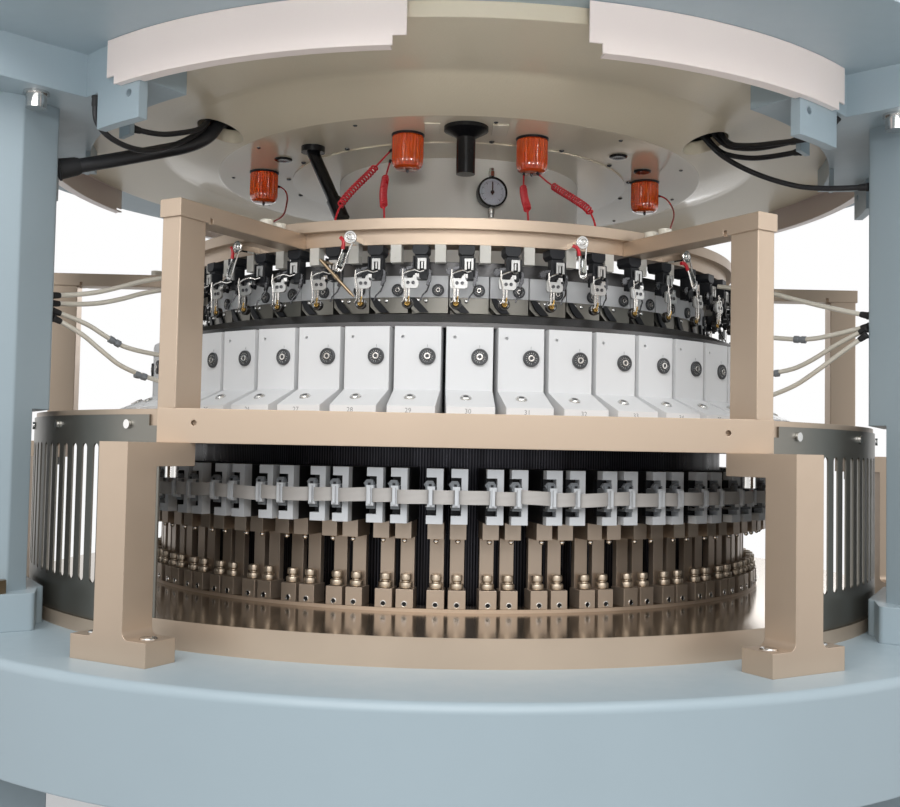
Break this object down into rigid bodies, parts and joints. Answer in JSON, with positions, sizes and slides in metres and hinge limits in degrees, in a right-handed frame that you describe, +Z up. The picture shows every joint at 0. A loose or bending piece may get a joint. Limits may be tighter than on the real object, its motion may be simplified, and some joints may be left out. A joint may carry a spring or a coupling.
{
  "type": "computerised jacquard circular knitting machine",
  "caption": "Circular knitting machine for jacquard cloth: round bed on legs, needle cylinder and dial ringed by cam boxes and yarn feeders, electronic needle actuators, round crown.",
  "frame": {"origin": "on the floor, below the machine axis", "axes": "+Z up along the machine axis, front looks along -Y"},
  "size_m": [1.498, 1.498, 1.752],
  "materials": {
    "bed_paint": "satin",
    "leg_paint": "satin",
    "champagne_plate": "satin",
    "cream_paint": "pebble",
    "sign_enamel": "gloss",
    "stainless": "brushed",
    "chrome": "polished",
    "silver_box": "satin",
    "dark_steel": "satin",
    "blued_steel": "satin",
    "dial_grey": "satin",
    "black_plastic": "matte",
    "gloss_black": "gloss",
    "cream_plastic": "gloss",
    "amber": "gloss",
    "red_plastic": "gloss",
    "champagne_actuator": "satin",
    "ribbon_grey": "matte",
    "rubber": "matte",
    "cast_iron": "matte",
    "motor_paint": "satin"
  },
  "bodies": {
    "machine_frame": {"bed_casting": "bed_paint", "base_legs": "leg_paint", "levelling_feet": "dark_steel", "column_left": "bed_paint", "column_right": "bed_paint", "column_rear": "bed_paint", "crown_casting": "bed_paint", "crown_cover": "bed_paint", "crown_dish": "cream_paint", "dial_housing": "cream_paint", "dish_cover": "cream_paint", "sign_panels": "sign_enamel", "lower_ring_plate": "champagne_plate", "support_legs": "champagne_plate", "side_guards": "stainless", "frame_screws": "chrome", "cam_ring_plate": "champagne_plate", "frame_posts": "champagne_plate", "frame_beams": "champagne_plate", "feeder_ring": "champagne_plate", "cylinder_cam_boxes": "silver_box", "stitch_dials": "dial_grey", "cam_box_screws": "chrome", "sinker_cap_ring": "dark_steel", "dial_cam_plates": "silver_box", "dial_cam_shoes": "stainless", "dial_cam_ring": "dark_steel", "feeder_holders": "black_plastic", "feeder_blocks": "cream_plastic", "yarn_feeders": "chrome", "actuator_feet": "champagne_actuator", "actuator_posts": "champagne_actuator", "selector_frames": "champagne_actuator", "ribbon_cable": "ribbon_grey", "bearing_ring": "chrome", "stop_lamps": "amber", "air_gauge": "gloss_black", "suction_funnel": "gloss_black", "suction_pipe": "gloss_black", "detector_posts": "chrome", "main_motor": "motor_paint", "drive_belt": "rubber", "cream_hoses": "cream_plastic", "black_cables": "black_plastic", "stop_leads": "red_plastic"},
    "cylinder_rotor": {"needle_cylinder": "blued_steel", "cylinder_gear": "cast_iron", "takedown_frame": "leg_paint"},
    "dial_rotor": {"dial_plate": "dark_steel", "dial_shaft": "stainless", "dial_gear": "cast_iron"},
    "drive_shaft": {"drive_shaft": "stainless"},
    "motor_rotor": {"motor_pulley": "cast_iron"},
    "front_roller": {"takedown_roller_front": "stainless"},
    "rear_roller": {"takedown_roller_rear": "stainless"},
    "gauge_needle": {"gauge_pointer": "black_plastic"},
    "detector_1": {"detector_arm_1": "chrome"},
    "detector_2": {"detector_arm_2": "chrome"},
    "detector_3": {"detector_arm_3": "chrome"},
    "detector_4": {"detector_arm_4": "chrome"}
  },
  "joints": [
    {"name": "cylinder_spin", "type": "hinge", "parent": "machine_frame", "child": "cylinder_rotor", "pos_m": [0, 0, 0.93], "axis": [0, 0, 1], "continuous": true},
    {"name": "dial_spin", "type": "hinge", "parent": "machine_frame", "child": "dial_rotor", "pos_m": [0, 0, 1.6], "axis": [0, 0, 1], "continuous": true},
    {"name": "drive_shaft_spin", "type": "hinge", "parent": "machine_frame", "child": "drive_shaft", "pos_m": [0, 0.654, 0.8], "axis": [0, 0, 1], "continuous": true},
    {"name": "motor_spin", "type": "hinge", "parent": "machine_frame", "child": "motor_rotor", "pos_m": [0, 0.49, 0.72], "axis": [0, 0, 1], "continuous": true},
    {"name": "front_roller_spin", "type": "hinge", "parent": "cylinder_rotor", "child": "front_roller", "pos_m": [0, -0.032, 0.54], "axis": [1, 0, 0], "continuous": true},
    {"name": "rear_roller_spin", "type": "hinge", "parent": "cylinder_rotor", "child": "rear_roller", "pos_m": [0, 0.032, 0.54], "axis": [1, 0, 0], "continuous": true},
    {"name": "gauge_swing", "type": "hinge", "parent": "machine_frame", "child": "gauge_needle", "pos_m": [0.04122, -0.20081, 1.526], "axis": [0.2011, -0.9796, 0], "range_deg": [-135, 135], "stiffness_Nm_per_rad": 0.002},
    {"name": "detector_swing_1", "type": "hinge", "parent": "machine_frame", "child": "detector_1", "pos_m": [-0.27978, -0.337, 1.4165], "axis": [-0.6388, -0.7694, 0], "range_deg": [-12, 12]},
    {"name": "detector_swing_2", "type": "hinge", "parent": "machine_frame", "child": "detector_2", "pos_m": [-0.13535, -0.41656, 1.4165], "axis": [-0.309, -0.9511, 0], "range_deg": [-12, 12]},
    {"name": "detector_swing_3", "type": "hinge", "parent": "machine_frame", "child": "detector_3", "pos_m": [0.13462, -0.4168, 1.4165], "axis": [0.3074, -0.9516, 0], "range_deg": [-12, 12]},
    {"name": "detector_swing_4", "type": "hinge", "parent": "machine_frame", "child": "detector_4", "pos_m": [0.27505, -0.34087, 1.4165], "axis": [0.628, -0.7782, 0], "range_deg": [-12, 12]}
  ],
  "couplings": [
    {"joint": "dial_spin", "follows": "cylinder_spin", "ratio": 1},
    {"joint": "drive_shaft_spin", "follows": "cylinder_spin", "ratio": -9.9},
    {"joint": "motor_spin", "follows": "cylinder_spin", "ratio": -14.85},
    {"joint": "rear_roller_spin", "follows": "front_roller_spin", "ratio": -1}
  ]
}
